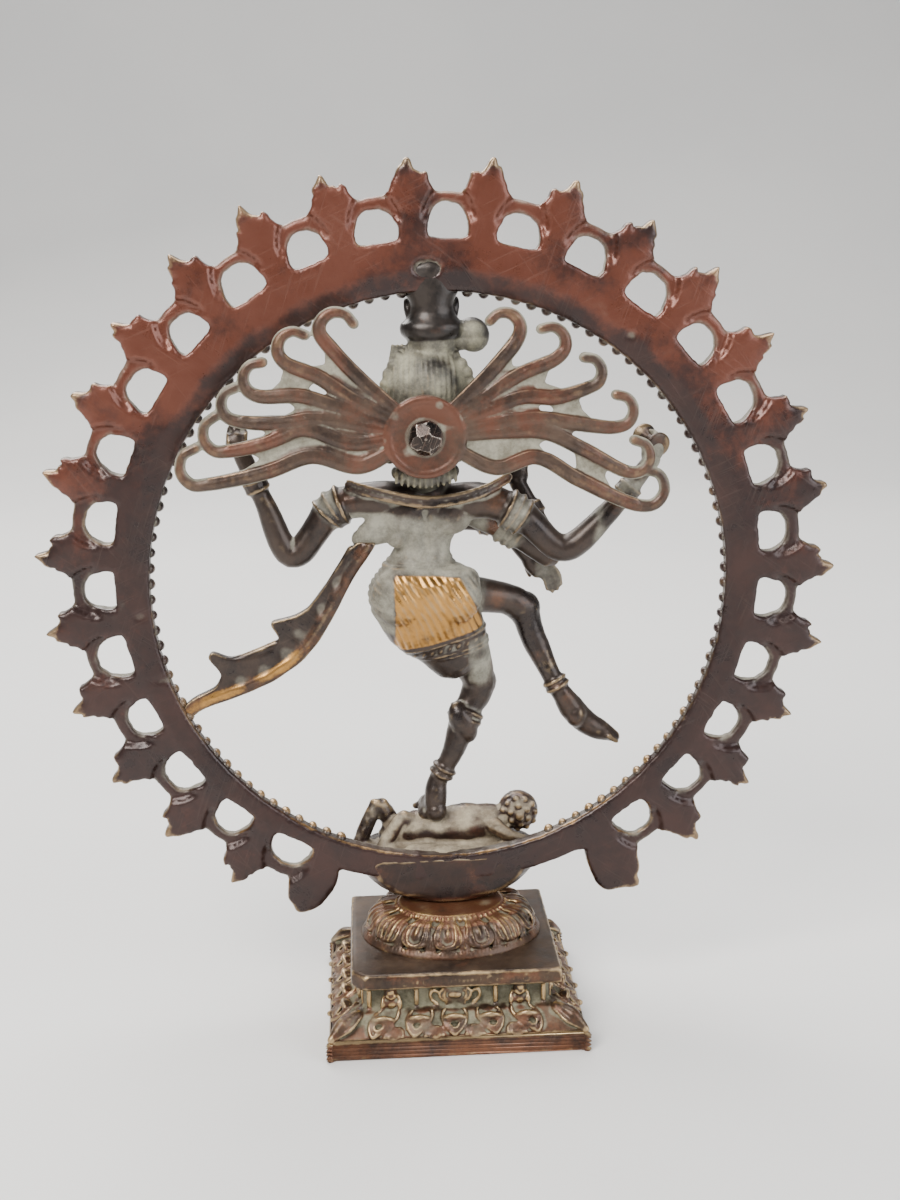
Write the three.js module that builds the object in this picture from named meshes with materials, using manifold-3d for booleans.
import * as THREE from 'three';
import { mergeVertices } from 'three/addons/utils/BufferGeometryUtils.js';
import Module from 'manifold-3d';

// A cast brass dancing figure in a ring of flames, on a stepped lotus pedestal.
// Millimetres, +Z up. The figure faces -Y, and its back faces +Y.
// The origin is the middle of the pedestal's underside.

// Driving dimensions
const contactGap = 0.3;
const plinthWidth = 60;
const plinthDepth = 54;
const plinthHeight = 4.6;
const petalTierHeight = 4.4;
const wallHeight = 6;
const petalsAcross = 7;
const petalsDeep = 6;
const petalInset = 2.2;
const wallInset = 3;
const corniceWidth = 47.5;
const corniceDepth = 45;
const corniceHeight = 3.6;
const lotusHeight = 7.6;
const pedestalHeight = plinthHeight + petalTierHeight + wallHeight + corniceHeight + lotusHeight;

const ringX = 0.9;
const flameCentreZ = 107;
const bandCentreZ = 103.2;
const bandInnerRadius = 64.9;
const bandLowerRadius = 75.4;
const flameCount = 27;
const flamePitch = THREE.MathUtils.degToRad(11.82);
const flameTurn = THREE.MathUtils.degToRad(3.5);
const strapRadius = 81.9;
const flameHeight = 7.9;
const holeRadius = 76.1;
const holeHeight = 7.2;
const holeWidth = 9.2;
const ringBackY = 2;
const ringThickness = 5;
const scallopPitch = 5.4;
const scallopDepth = 0.9;
const sashBackY = 0.4;
const sashThickness = 3;

const platformZ = 37.6;
const platformHalfWidth = 22;
const platformHalfDepth = 16;
const platformY = -7;

const fanY = 9.2;
const discCentre = [4, fanY, 137.8];
const discRadius = 9;
const discThickness = 3.4;
const lockRadius = 1.75;
const lockTipRadius = 1.2;
const webThickness = 1.3;
const webReach = 0.5;
const rivetRadius = 3.9;
const rivetHeight = 3;
const shankRadius = 1.5;
const shankDepth = 4;

// Places on the body: [x, y, z]
const waist = [4.4, -4, 112.4];
const chest = [3.4, -4, 120.5];
const hips = [4.2, -4.5, 99.5];
const headCentre = [3.8, -3.2, 140];
const standingKnee = [-8.2, -12, 76];
const standingAnkle = [2.2, -9, 52.5];
const raisedKnee = [-18.4, -15, 94];
const raisedAnkle = [-28.2, -13, 72.6];
const leftShoulder = [15.5, -2.5, 122.5];
const rightShoulder = [-10.5, -1.5, 121.5];
const backLeftElbow = [34, -3, 110.2];
const backLeftHand = [44.8, -3, 134.5];
const backRightElbow = [-27.2, -1, 110.4];
const backRightHand = [-47.2, -1, 130];
const frontRightElbow = [-25.6, -9, 107.2];
const frontRightHand = [-18.2, -15, 123.5];
const frontLeftElbow = [3, -17, 115];
const frontLeftWrist = [-14.6, -16.5, 112.4];
const frontLeftTips = [-26.4, -15, 98];

const wasm = await Module();
wasm.setup();

// Turns a closed geometry into a solid with its faces pointing out.
function solidOf(geometry) {
  const plain = geometry.clone();
  plain.deleteAttribute('normal');
  plain.deleteAttribute('uv');
  const merged = mergeVertices(plain, 1e-4);
  const spots = merged.attributes.position;
  const index = merged.index.array;
  const kept = [];
  let volume = 0;
  const corner = [new THREE.Vector3(), new THREE.Vector3(), new THREE.Vector3()];
  for (let i = 0; i < index.length; i += 3) {
    const [a, b, c] = [index[i], index[i + 1], index[i + 2]];
    if (a !== b && b !== c && a !== c) {
      kept.push(a, b, c);
      corner.forEach((v, k) => v.fromBufferAttribute(spots, index[i + k]));
      volume += corner[0].dot(corner[1].clone().cross(corner[2]));
    }
  }
  const outward = volume < 0 ? kept.reverse() : kept;
  return new wasm.Manifold(new wasm.Mesh({
    numProp: 3,
    vertProperties: new Float32Array(spots.array),
    triVerts: new Uint32Array(outward),
  }));
}

function geometryOf(manifold) {
  const mesh = manifold.getMesh();
  const geometry = new THREE.BufferGeometry();
  geometry.setAttribute('position', new THREE.BufferAttribute(mesh.vertProperties, 3));
  geometry.setIndex(new THREE.BufferAttribute(mesh.triVerts, 1));
  geometry.computeVertexNormals();
  return geometry;
}

function join(solids) {
  return solids.reduce((sum, next) => sum.add(next));
}

function curveThrough(points) {
  return new THREE.CatmullRomCurve3(points.map((p) => new THREE.Vector3(...p)));
}

// A bar along a curve. Its stations are [share of the length, radius], and depth
// thins it from front to back.
function bar(points, stations, { sides = 7, depth = 1, exact = false } = {}) {
  const path = curveThrough(points);
  const rod = new THREE.CylinderGeometry(1, 1, 1, sides, stations.length - 1);
  const spots = rod.attributes.position;
  for (let i = 0; i < spots.count; i += 1) {
    const row = Math.round((spots.getY(i) + 0.5) * (stations.length - 1));
    const [share, radius] = stations[row];
    const along = exact ? path.getTangent(share) : path.getTangentAt(share);
    const back = new THREE.Vector3(0, 1, 0).addScaledVector(along, -along.y).normalize();
    const across = new THREE.Vector3().crossVectors(along, back);
    const spot = exact ? path.getPoint(share) : path.getPointAt(share);
    spot.addScaledVector(across, spots.getX(i) * radius);
    spot.addScaledVector(back, spots.getZ(i) * radius * depth);
    spots.setXYZ(i, spot.x, spot.y, spot.z);
  }
  return solidOf(rod);
}

// Stations spaced evenly along a bar.
function evenly(radii) {
  return radii.map((radius, number) => [number / (radii.length - 1), radius]);
}

function ball([x, y, z], [rx, ry, rz], sides = 7, rings = 4) {
  const sphere = new THREE.SphereGeometry(1, sides, rings);
  sphere.rotateX(Math.PI / 2);
  sphere.scale(rx, ry, rz);
  sphere.translate(x, y, z);
  return solidOf(sphere);
}

// A flat plate in the XZ plane, from its back face at backY towards the front.
function plate(shape, backY, thickness) {
  const slab = new THREE.ExtrudeGeometry(shape, { depth: thickness, bevelEnabled: false });
  slab.rotateX(Math.PI / 2);
  slab.translate(0, backY, 0);
  return solidOf(slab);
}

function box(width, depth, height, [x, y, z]) {
  const block = new THREE.BoxGeometry(width, depth, height);
  block.translate(x, y, z);
  return solidOf(block);
}

// A turned form about a vertical line. Its profile lists [radius, height], and a third
// number draws every second column in by that share, which leaves a row of petals.
function turned(profile, [x, y, z], { sides = 20, stretch = 1 } = {}) {
  const outline = profile.map(([radius, height]) => new THREE.Vector2(radius, height));
  const lathe = new THREE.LatheGeometry(outline, sides);
  const spots = lathe.attributes.position;
  for (let i = 0; i < spots.count; i += 1) {
    const column = Math.floor(i / profile.length);
    const inset = profile[i % profile.length][2] || 0;
    const share = column % 2 ? 1 - inset : 1;
    spots.setXYZ(i, spots.getX(i) * share, spots.getY(i), spots.getZ(i) * share);
  }
  lathe.rotateX(Math.PI / 2);
  lathe.scale(1, stretch, 1);
  lathe.translate(x, y, z);
  return solidOf(lathe);
}

// The same form with its line turned from +Z to another direction.
function turnedAlong(profile, from, to, sides = 10) {
  const outline = profile.map(([radius, height]) => new THREE.Vector2(radius, height));
  const lathe = new THREE.LatheGeometry(outline, sides);
  const along = new THREE.Vector3(...to).sub(new THREE.Vector3(...from)).normalize();
  lathe.applyQuaternion(new THREE.Quaternion().setFromUnitVectors(new THREE.Vector3(0, 1, 0), along));
  lathe.translate(...from);
  return solidOf(lathe);
}

// Ring of flames

// A place on the ring: angle from the top towards +X, sideways shift and radius.
function onRing(angle, shift, radius) {
  const x = ringX + radius * Math.sin(angle) + shift * Math.cos(angle);
  const z = flameCentreZ + radius * Math.cos(angle) - shift * Math.sin(angle);
  return new THREE.Vector2(x, z);
}

// One flame as [sideways, height above the strap]. It has a shoulder on its upper
// side and a steep flank on the side towards the foot of the ring.
const flameOutline = [
  [-5.6, 0], [-4, 4.2], [-1.6, 4.6], [0.2, flameHeight], [2.4, 5.8],
  [3.2, 3.4], [4.4, 1.2], [5.6, 0],
];
const mirroredFlame = flameOutline.map(([side, height]) => [-side, height]).reverse();
// The blunt flames at the two lower ends of the row.
const firstFlameOutline = [
  [-5.6, -6], [-7.4, 0], [-7.5, 4], [-5.8, 6.4], [0.6, 9],
  [1.6, 6.4], [3.4, 4.4], [5.6, 0],
];
const lastFlameOutline = [
  [-5.6, 0], [-4.1, 4.6], [-0.9, 7.1], [2.6, 5.1],
  [4.7, 1.1], [5.2, -3.6], [4.6, -6.4],
];

function flameAngle(number) {
  return flameTurn + (number - (flameCount - 1) / 2) * flamePitch;
}

function ringShape() {
  const outline = [];
  const last = flameCount - 1;
  for (let number = 0; number < flameCount; number += 1) {
    const angle = flameAngle(number);
    const lean = 0.35 * Math.sin(number * 2.3);
    const growth = 1 + 0.06 * Math.sin(number * 1.7);
    let points = angle < 0 ? mirroredFlame : flameOutline;
    if (number === last) points = lastFlameOutline;
    if (number === 0) points = firstFlameOutline;
    const blunt = number === 0 || number === last;
    for (const [side, height] of points) {
      const shift = side + (height > 4 && !blunt ? lean : 0);
      outline.push(onRing(angle, shift, strapRadius + height * growth));
    }
    if (number < last) outline.push(onRing(angle + flamePitch / 2, 0, strapRadius + 0.4));
  }
  const firstEnd = flameAngle(0) - flamePitch / 2 + 2 * Math.PI;
  const lastEnd = flameAngle(flameCount - 1) + flamePitch / 2;
  const lowerSteps = 6;
  for (let step = 0; step <= lowerSteps; step += 1) {
    const angle = THREE.MathUtils.lerp(lastEnd, firstEnd, step / lowerSteps);
    outline.push(onRing(angle, 0, bandLowerRadius));
  }
  const shape = new THREE.Shape(outline);
  shape.holes.push(innerEdge());
  for (let number = 0; number < flameCount - 1; number += 1) shape.holes.push(flameHole(number));
  return shape;
}

// The scalloped inner edge, plain at the bottom where the platform meets it.
function innerEdge() {
  const scallops = Math.round((2 * Math.PI * bandInnerRadius) / scallopPitch);
  const points = [];
  for (let number = 0; number < scallops; number += 1) {
    for (const half of [0, 0.5]) {
      const angle = ((number + half) / scallops) * 2 * Math.PI;
      const nearBottom = Math.abs(angle - Math.PI) < 0.42;
      if (half && nearBottom) continue;
      const radius = bandInnerRadius - (half ? scallopDepth : 0);
      const x = ringX + radius * Math.sin(angle);
      points.push(new THREE.Vector2(x, bandCentreZ + radius * Math.cos(angle)));
    }
  }
  return new THREE.Path(points.reverse());
}

// A hole with a flat inner side and an arched outer side, between two flames.
function flameHole(number) {
  const angle = flameAngle(number) + flamePitch / 2;
  const inner = holeRadius - holeHeight / 2;
  const half = (holeWidth / 2) * (1 + 0.07 * Math.sin(number * 3.1));
  const points = [
    [-half * 0.86, 0], [-half, 2.6], [-half * 0.5, holeHeight * 0.93],
    [half * 0.5, holeHeight], [half, 2.6], [half * 0.86, 0],
  ];
  return new THREE.Path(points.map(([side, height]) => onRing(angle, side, inner + height)).reverse());
}

function ringSolid() {
  return plate(ringShape(), ringBackY, ringThickness);
}

// Upper lotus, platform and dwarf

function platformSolid() {
  const foot = pedestalHeight + contactGap;
  const rise = platformZ - foot;
  const profile = [
    [0, 0], [0.55, 0], [0.72, 0.14, 0.02], [0.88, 0.4, 0.05],
    [0.96, 0.66, 0.06], [1, 0.9, 0.05], [0.95, 1], [0, 1],
  ];
  const sized = profile.map(([r, h, inset]) => [r * platformHalfWidth, h * rise, inset]);
  const stretch = platformHalfDepth / platformHalfWidth;
  const behind = box(80, 40, 40, [0, ringBackY + 20, platformZ]);
  return turned(sized, [0.2, platformY, foot], { sides: 28, stretch }).subtract(behind);
}

function dwarfSolids() {
  const ground = platformZ - 0.6;
  const head = [-17.4, -12, platformZ + 6.4];
  const knee = (x, y, height) => bar(
    [[x - 5, y - 1, ground], [x, y, ground + height], [x + 4.6, y + 1.6, ground]],
    [[0, 2], [0.5, 2.6], [1, 1.8]],
    { sides: 6 },
  );
  return [
    bar(
      [[14, -11, ground + 2], [-1, -11, ground + 3], [-16, -11.6, ground + 5]],
      evenly([2.6, 5.6, 5.8, 3.4]),
      { depth: 0.9 },
    ),
    ball(head, [5.2, 4.8, 5], 9, 6),
    knee(16.4, -12, 9.4),
    knee(10.4, -9.6, 6.6),
  ];
}

// Dancing figure

function legSolids() {
  const standing = bar(
    [
      [0.6, -5.4, 97], [-3.8, -9, 87.6], standingKnee, [-5, -10.5, 69], [-1.6, -9, 60],
      standingAnkle, [2.8, -8.6, 47.4], [4.6, -15.6, 45],
    ],
    [
      [0, 8.2], [0.1, 7.6], [0.2, 6.4], [0.3, 4.6], [0.38, 3.7], [0.47, 3.2],
      [0.49, 4], [0.52, 4], [0.54, 3.2], [0.64, 2.8], [0.71, 2.4], [0.73, 3.1],
      [0.76, 3], [0.78, 2.3], [0.83, 2.9], [0.9, 2.8], [1, 2.1],
    ],
  );
  const raised = bar(
    [
      [-1, -8, 98.6], [-9, -12.5, 97.4], raisedKnee, [-22, -15, 85.4],
      raisedAnkle, [-34, -14, 65], [-41, -14, 61],
    ],
    [
      [0, 5.6], [0.14, 4.2], [0.26, 3.6], [0.34, 3.5], [0.46, 3.3], [0.6, 2.5], [0.64, 2.4],
      [0.65, 3], [0.68, 3], [0.7, 2.5], [0.78, 3.4], [0.9, 2.8], [1, 1.4],
    ],
    { depth: 0.9 },
  );
  return [standing, raised];
}

function trunkSolids() {
  const trunk = bar(
    [
      [-1.6, -6.4, 85], [2.6, -5.2, 92], hips, [5, -4.2, 105.6],
      waist, chest, [3.6, -3.2, 125], [3.8, -3, 132],
    ],
    [
      [0, 6.2], [0.02, 6.9], [0.06, 6.9], [0.08, 6.4], [0.18, 10.6], [0.3, 13.2], [0.38, 13.4],
      [0.42, 12.8], [0.45, 10.4], [0.56, 6.2], [0.6, 6.2], [0.72, 8.4], [0.8, 8.6], [0.9, 5], [1, 4.2],
    ],
    { sides: 10, depth: 0.72 },
  );
  const torque = bar(
    [[21, -0.6, 126.2], [14, 2.6, 124.4], [3, 3.9, 122.6], [-8, 2.6, 124.2], [-15, -0.6, 127]],
    evenly([0.9, 1.4, 1.6, 1.6, 1.4, 0.9]),
    { sides: 5 },
  );
  return [trunk, torque];
}

function headSolids() {
  const [x, y, z] = headCentre;
  const strands = 9;
  const cap = new THREE.SphereGeometry(1, strands * 2, 5);
  const spots = cap.attributes.position;
  for (let i = 0; i < spots.count; i += 1) {
    const angle = Math.atan2(spots.getZ(i), spots.getX(i));
    const swell = 1 + 0.04 * Math.cos(strands * angle);
    spots.setXYZ(i, spots.getX(i) * swell, spots.getY(i), spots.getZ(i) * swell);
  }
  cap.rotateX(Math.PI / 2);
  cap.scale(10.6, 9, 9.6);
  cap.translate(x - 1, y + 0.4, z + 7);
  const crown = turned(
    [[0, -1], [5.6, -1], [7.4, 2], [7.2, 4.4], [5.8, 5.6], [6.5, 7], [5, 10.4], [4.3, 16], [0, 16]],
    [1.5, -1.6, 155.2],
    { sides: 10 },
  );
  const backPad = turnedAlong([[0, 0], [6, 0], [6, 6], [5.2, 8.1], [0, 8.1]],
    [discCentre[0], -1, discCentre[2]], [discCentre[0], 0, discCentre[2]], 10);
  const fringe = bar(
    [[9.6, 1.2, 128.6], [4, 2.2, 127.2], [-2, 1.2, 128.6]],
    evenly([1.8, 3, 1.8]),
    { sides: 5 },
  );
  return [
    ball([x, y - 1, z - 1.5], [7.4, 7.8, 9.6], 9, 6),
    solidOf(cap),
    crown,
    backPad,
    fringe,
    ball([-7.8, -2, 157.2], [3.9, 3.6, 3.9]),
    ball([x, y - 8.6, z - 2.4], [1.3, 1.6, 2.2], 4, 3),
    ball([x + 7, y - 1.4, z - 3], [1.6, 1.7, 3], 4, 3),
    ball([x - 7, y - 1.4, z - 3], [1.6, 1.7, 3], 4, 3),
  ];
}

function armSolids() {
  const backLeft = bar(
    [
      [3, -3, 121.4], leftShoulder, [24, -3, 120.8], backLeftElbow,
      [39.8, -3, 122.4], backLeftHand, [45.8, -4.4, 140.6],
    ],
    [
      [0, 4.4], [0.14, 4.4], [0.25, 4.1], [0.27, 4.8], [0.35, 4.6], [0.37, 3.6], [0.5, 3], [0.6, 2.9],
      [0.7, 2.4], [0.72, 3.2], [0.75, 3.2], [0.77, 2.3], [0.84, 3.6], [0.91, 3.2], [1, 0.6],
    ],
  );
  const backRight = bar(
    [
      [2, -3, 121], rightShoulder, [-18.4, -1, 117.6], backRightElbow,
      [-37.4, -1, 118.4], backRightHand, [-48, -1.6, 136],
    ],
    [
      [0, 4.4], [0.14, 4.4], [0.23, 4], [0.25, 4.7], [0.33, 4.5], [0.35, 3.5], [0.47, 3],
      [0.58, 2.9], [0.72, 2.5], [0.74, 3.2], [0.77, 3.2], [0.79, 2.4], [0.88, 3.4], [1, 1.6],
    ],
  );
  const frontRight = bar(
    [
      [-4, -6, 120.6], [-16, -7, 113.6], frontRightElbow,
      [-22.4, -12.6, 115.4], frontRightHand, [-18.4, -15.6, 130.4],
    ],
    [
      [0, 4], [0.3, 3.2], [0.48, 2.9], [0.66, 2.3], [0.68, 3],
      [0.71, 3], [0.73, 2.2], [0.84, 3], [1, 1.2],
    ],
    { sides: 6, depth: 0.85 },
  );
  const frontLeft = bar(
    [
      [8, -5, 121.6], [11, -12, 118.4], frontLeftElbow, [-6, -17.6, 114.6],
      frontLeftWrist, [-20.6, -16, 106], frontLeftTips,
    ],
    [
      [0, 4], [0.2, 3.4], [0.36, 3], [0.5, 2.5], [0.58, 2.3], [0.6, 3.2],
      [0.66, 3.1], [0.68, 2.4], [0.8, 3], [0.93, 3.1], [1, 1.6],
    ],
    { sides: 6, depth: 0.85 },
  );
  const drumProfile = [[0, -4], [2.8, -4], [1.1, 0], [2.8, 4], [0, 4]];
  const drum = turnedAlong(drumProfile, [-47.6, -4.6, 134], [-46.6, -7.6, 134.6], 6);
  return [backLeft, backRight, frontRight, frontLeft, drum];
}

// The sash: a flat ribbon from the waist to the ring, with two points on its upper edge.
function sashSolids() {
  const outline = [
    [15, 113], [19.4, 113.5], [23, 109.2], [25.8, 105], [31, 98.3], [34.2, 96.6], [40, 95.3],
    [37.6, 91.4], [39, 89], [42.3, 87.4], [48.6, 87], [53, 88.9], [54.2, 87.6], [51, 83.4], [52.6, 80.4],
    [58, 78], [63, 73.6], [60, 72.4], [55.6, 75.6], [47.5, 78.1], [39.4, 81.4], [32.8, 85.9], [28.8, 90.3],
    [25.4, 95.8], [20.6, 104.8], [16.3, 110.8],
  ];
  const shape = new THREE.Shape(outline.map(([x, z]) => new THREE.Vector2(x, z)));
  return [
    plate(shape, sashBackY, sashThickness),
    bar([[7, -3.4, 114.6], [13, -2.6, 115.4], [18.6, -2, 113.8]], evenly([3, 3.2, 2.4]), { sides: 6 }),
  ];
}

function rivetBore() {
  const start = [discCentre[0], discCentre[1] - discThickness / 2 - shankDepth - contactGap, discCentre[2]];
  const ahead = [start[0], start[1] + 1, start[2]];
  const reach = shankDepth + discThickness + 2;
  const radius = shankRadius + contactGap;
  return turnedAlong([[0, 0], [radius, 0], [radius, reach], [0, reach]], start, ahead, 8);
}

function figureSolid() {
  return join([
    ringSolid(),
    platformSolid(),
    ...dwarfSolids(),
    ...legSolids(),
    ...trunkSolids(),
    ...headSolids(),
    ...armSolids(),
    ...sashSolids(),
  ]).subtract(rivetBore());
}

// Hair fan

// Each lock: the places it runs through as [x, z], then its curl's centre,
// radius and the angles in degrees where the curl starts and ends.
const locks = [
  { through: [[17.6, 150.5], [23.1, 156.6]], curl: [22.2, 160.9], radius: 3.8, turn: [0, 160] },
  { through: [[19.9, 146.5], [26.5, 151.2]], curl: [31.3, 157.3], radius: 3.6, turn: [-50, 130] },
  { through: [[22.3, 144.5], [30.3, 147.2]], curl: [38.8, 151], radius: 3.6, turn: [-80, 100] },
  { through: [[26.8, 142.2], [35, 141.6]], curl: [43.7, 145.8], radius: 3.6, turn: [-85, 85] },
  { through: [[20.2, 136.7], [30, 140], [38, 137.4]], curl: [47.5, 139.6], radius: 4, turn: [-110, 75] },
  { through: [[18.2, 131.6], [28.4, 134.2], [38, 131.2]], curl: [52.6, 132.6], radius: 4.2,
    turn: [-115, 85] },
  { through: [[-7.2, 148.2], [-11.5, 152.6]], curl: [-13.3, 160.4], radius: 3.5, turn: [200, 30] },
  { through: [[-9.7, 146], [-16, 150.4]], curl: [-23, 157.2], radius: 3.5, turn: [240, 60] },
  { through: [[-17.5, 145.8], [-24, 145.6]], curl: [-31, 150.8], radius: 3.3, turn: [265, 80] },
  { through: [[-20, 141.2], [-28, 140]], curl: [-37.7, 142.4], radius: 3.5, turn: [270, 85] },
  { through: [[-21.5, 138.2], [-30, 134.4]], curl: [-41.4, 132.4], radius: 3.6, turn: [285, 90] },
  { through: [[-11.2, 130.6], [-20, 132.8], [-29.4, 127.6]], curl: [-44.1, 125.4], radius: 4.1,
    turn: [290, 85] },
];
const curlSteps = 4;

function lockPoints({ through, curl, radius, turn }) {
  const [middleX, , middleZ] = discCentre;
  const [x, z] = through[0];
  const share = (discRadius - 2) / Math.hypot(x - middleX, z - middleZ);
  const root = [THREE.MathUtils.lerp(middleX, x, share), THREE.MathUtils.lerp(middleZ, z, share)];
  const points = [root, ...through];
  for (let step = 0; step <= curlSteps; step += 1) {
    const angle = THREE.MathUtils.degToRad(THREE.MathUtils.lerp(turn[0], turn[1], step / curlSteps));
    points.push([curl[0] + radius * Math.cos(angle), curl[1] + radius * Math.sin(angle)]);
  }
  return points.map(([px, pz]) => [px, fanY, pz]);
}

// One lock, with a ring of its surface at each place it runs through.
function lockSolid(lock) {
  const points = lockPoints(lock);
  const stations = points.map((point, number) => {
    const share = number / (points.length - 1);
    const taper = Math.max(0, share * 2 - 1);
    return [share, THREE.MathUtils.lerp(lockRadius, lockTipRadius, taper)];
  });
  return bar(points, stations, { sides: 4, exact: true });
}

// The thin web that joins the roots of the locks on one side.
function webSolid(side) {
  const curves = locks.filter(({ curl }) => Math.sign(curl[0] - discCentre[0]) === side)
    .map((lock) => curveThrough(lockPoints(lock)));
  const outline = [new THREE.Vector2(discCentre[0], discCentre[2] + discRadius - 2)];
  const gapReach = webReach * 0.88;
  curves.forEach((curve, number) => {
    const far = curve.getPointAt(webReach);
    outline.push(new THREE.Vector2(far.x, far.z));
    if (number < curves.length - 1) {
      const near = curve.getPointAt(gapReach).lerp(curves[number + 1].getPointAt(gapReach), 0.5);
      outline.push(new THREE.Vector2(near.x, near.z));
    }
  });
  outline.push(new THREE.Vector2(discCentre[0], discCentre[2] - discRadius + 2));
  return plate(new THREE.Shape(outline), fanY + webThickness / 2, webThickness);
}

function fanSolid() {
  const half = discThickness / 2;
  const disc = turnedAlong(
    [[0, -half], [discRadius, -half], [discRadius, half - 0.4], [discRadius - 1, half],
      [discRadius - 2.4, half - 0.5], [0, half - 0.4]],
    discCentre, [discCentre[0], discCentre[1] + 1, discCentre[2]], 16,
  );
  return join([disc, webSolid(1), webSolid(-1), ...locks.map(lockSolid)]).subtract(rivetBore());
}

function rivetSolid() {
  const half = discThickness / 2;
  const seat = half - 0.4 + contactGap;
  const profile = [[0, -half - shankDepth], [shankRadius, -half - shankDepth], [shankRadius, seat],
    [rivetRadius, seat], [rivetRadius, seat + 0.9], [rivetRadius * 0.68, seat + rivetHeight * 0.8],
    [0, seat + rivetHeight]];
  return turnedAlong(profile, discCentre, [discCentre[0], discCentre[1] + 1, discCentre[2]], 10);
}

// Pedestal

// A tier of lotus petals round a rectangle: pointed tips below, drawn in towards the top.
function petalTier(bottom, top, topWidth, topDepth) {
  const [halfX, halfY] = [plinthWidth / 2 - 0.6, plinthDepth / 2 - 0.6];
  const sides = [[-1, -1, 1, -1, petalsAcross], [1, -1, 1, 1, petalsDeep], [1, 1, -1, 1, petalsAcross],
    [-1, 1, -1, -1, petalsDeep]];
  const outline = [];
  for (const [fromX, fromY, toX, toY, count] of sides) {
    for (let number = 0; number < count - 1; number += 1) {
      for (const [half, inset] of [[0, 0], [0.5, petalInset]]) {
        const share = (number + half) / (count - 1);
        const x = THREE.MathUtils.lerp(fromX, toX, share) * halfX;
        const y = THREE.MathUtils.lerp(fromY, toY, share) * halfY;
        const [outX, outY] = [fromX === toX ? fromX : 0, fromY === toY ? fromY : 0];
        outline.push(new THREE.Vector2(x - outX * inset, y - outY * inset));
      }
    }
  }
  const tier = new THREE.ExtrudeGeometry(new THREE.Shape(outline), { depth: 1, bevelEnabled: false });
  const spots = tier.attributes.position;
  for (let i = 0; i < spots.count; i += 1) {
    const high = spots.getZ(i) > 0.5;
    const [shareX, shareY] = high ? [topWidth / plinthWidth, topDepth / plinthDepth] : [1, 1];
    spots.setXYZ(i, spots.getX(i) * shareX, spots.getY(i) * shareY, high ? top : bottom);
  }
  return solidOf(tier);
}

function pedestalSolid() {
  const tierTop = plinthHeight + petalTierHeight;
  const wallTop = tierTop + wallHeight;
  const wallWidth = corniceWidth - 2 * wallInset;
  const wallDepth = corniceDepth - 2 * wallInset;
  return join([
    box(plinthWidth, plinthDepth, plinthHeight, [0, 0, plinthHeight / 2]),
    petalTier(plinthHeight - 0.4, tierTop, wallWidth + 4, wallDepth + 4),
    box(wallWidth, wallDepth, wallHeight + 2, [0, 0, tierTop + wallHeight / 2]),
    corniceBlock(wallTop),
    ...wallFigures(tierTop, wallWidth / 2, wallDepth / 2),
    lotusSolid(wallTop + corniceHeight),
  ]);
}

// The cornice slab; the back corner on the +X side is chamfered.
function corniceBlock(bottom) {
  const chamfer = 3;
  const [halfX, halfY] = [corniceWidth / 2, corniceDepth / 2];
  const corners = [[-halfX, -halfY], [halfX, -halfY], [halfX, halfY - chamfer], [halfX - chamfer, halfY],
    [-halfX, halfY]];
  const outline = new THREE.Shape(corners.map(([x, y]) => new THREE.Vector2(x, y)));
  const slab = new THREE.ExtrudeGeometry(outline, { depth: corniceHeight, bevelEnabled: false });
  slab.translate(0, 0, bottom);
  return solidOf(slab);
}

// Beaded columns, squatting figures and a medallion on each wall of the recess.
function wallFigures(bottom, halfX, halfY) {
  const pieces = [];
  const columnHeight = wallHeight + 0.6;
  for (const side of [-1, 1]) {
    const z = bottom + wallHeight / 2;
    for (const share of [-0.92, -0.42, 0.42, 0.92]) {
      pieces.push(box(1.9, 2, columnHeight, [share * halfX, side * halfY, z]));
    }
    for (const share of [-0.42, 0.42]) {
      pieces.push(box(2, 1.9, columnHeight, [side * halfX, share * halfY, z]));
    }
    for (const share of [-0.67, 0.67]) {
      pieces.push(ball([share * halfX, side * (halfY + 0.6), bottom + 2.2], [2.1, 1.9, 2.6], 5, 3));
      pieces.push(ball([share * halfX, side * (halfY + 0.8), bottom + 5], [1.4, 1.6, 1.5], 5, 3));
    }
    for (const [size, reach] of [[1, 1.2], [0.6, 2]]) {
      const medallion = new THREE.CylinderGeometry(1, 1, 1, 10);
      medallion.scale(5.4 * size, reach * 2, 3.4 * size);
      medallion.translate(0, side * halfY, bottom + wallHeight / 2 + 0.2);
      pieces.push(solidOf(medallion));
    }
  }
  return pieces;
}

// The oval lotus cushion: a shelf, drooping petals and a collar.
function lotusSolid(bottom) {
  const profile = [
    [0, -1], [21.6, -1], [21.2, 1], [19.4, 1.9], [19, 2.4, 0.1], [18.6, 3.6, 0.1],
    [17.2, 5, 0.06], [13.6, 6.2], [12.6, lotusHeight], [0, lotusHeight],
  ];
  return turned(profile, [0, -1, bottom], { sides: 28, stretch: 0.8 });
}

function metal(color, roughness) {
  return new THREE.MeshStandardMaterial({ color, roughness, metalness: 0.9 });
}

function piece(name, manifold, material) {
  const mesh = new THREE.Mesh(geometryOf(manifold), material);
  mesh.name = name;
  return mesh;
}

const statue = new THREE.Group();
statue.add(
  piece('pedestal', pedestalSolid(), metal(0x8a6a3f, 0.45)),
  piece('figure_and_flame_ring', figureSolid(), metal(0x4a2a20, 0.35)),
  piece('hair_fan', fanSolid(), metal(0x7d6248, 0.5)),
  piece('fan_rivet', rivetSolid(), metal(0x2a2422, 0.3)),
);

export default statue;
